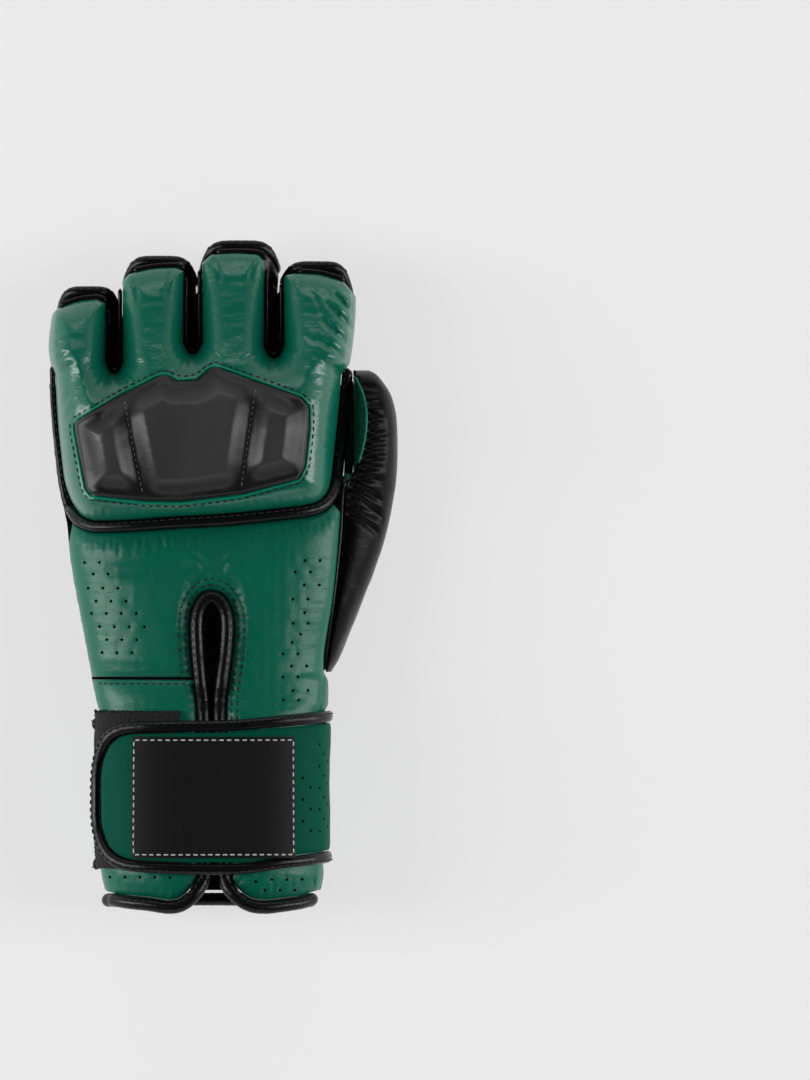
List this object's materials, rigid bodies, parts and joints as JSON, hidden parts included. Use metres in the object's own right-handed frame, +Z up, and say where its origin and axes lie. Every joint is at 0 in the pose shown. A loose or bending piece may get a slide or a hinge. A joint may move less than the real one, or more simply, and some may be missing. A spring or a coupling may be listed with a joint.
{
  "type": "mma glove",
  "caption": "Left-hand mma sparring glove: green padded leather, black embossed knuckle panel, open fingertips, closed black thumb and a hook-and-loop wrist strap.",
  "frame": {"origin": "on the floor, under the middle of the glove as it lies palm down", "axes": "+X to the thumb's side, +Y to the fingertips, +Z up from the palm to the back of the hand"},
  "size_m": [0.1344, 0.2586, 0.0656],
  "materials": {
    "green_leather": "semi-gloss",
    "black_leather": "semi-gloss",
    "panel_leather": "satin",
    "loop_fabric": "matt pile",
    "patch_leather": "smooth"
  },
  "bodies": {
    "root": {"knuckle_pad": "green_leather", "knuckle_panel": "panel_leather", "pad_binding": "black_leather", "slot_piping_1": "black_leather", "slot_piping_2": "black_leather", "slot_piping_3": "black_leather", "back_panel": "green_leather", "cuff_panel": "green_leather", "cuff_binding": "black_leather", "gusset": "black_leather", "palm": "black_leather", "thumb_shell": "black_leather", "thumb_web": "green_leather", "loop_patch": "loop_fabric", "wrist_strap": "green_leather", "strap_binding": "black_leather", "strap_patch": "patch_leather", "pinky_tube": "black_leather", "pinky_binding": "black_leather", "ring_tube": "black_leather", "ring_binding": "black_leather", "middle_tube": "black_leather", "middle_binding": "black_leather", "index_tube": "black_leather", "index_binding": "black_leather"}
  },
  "joints": []
}
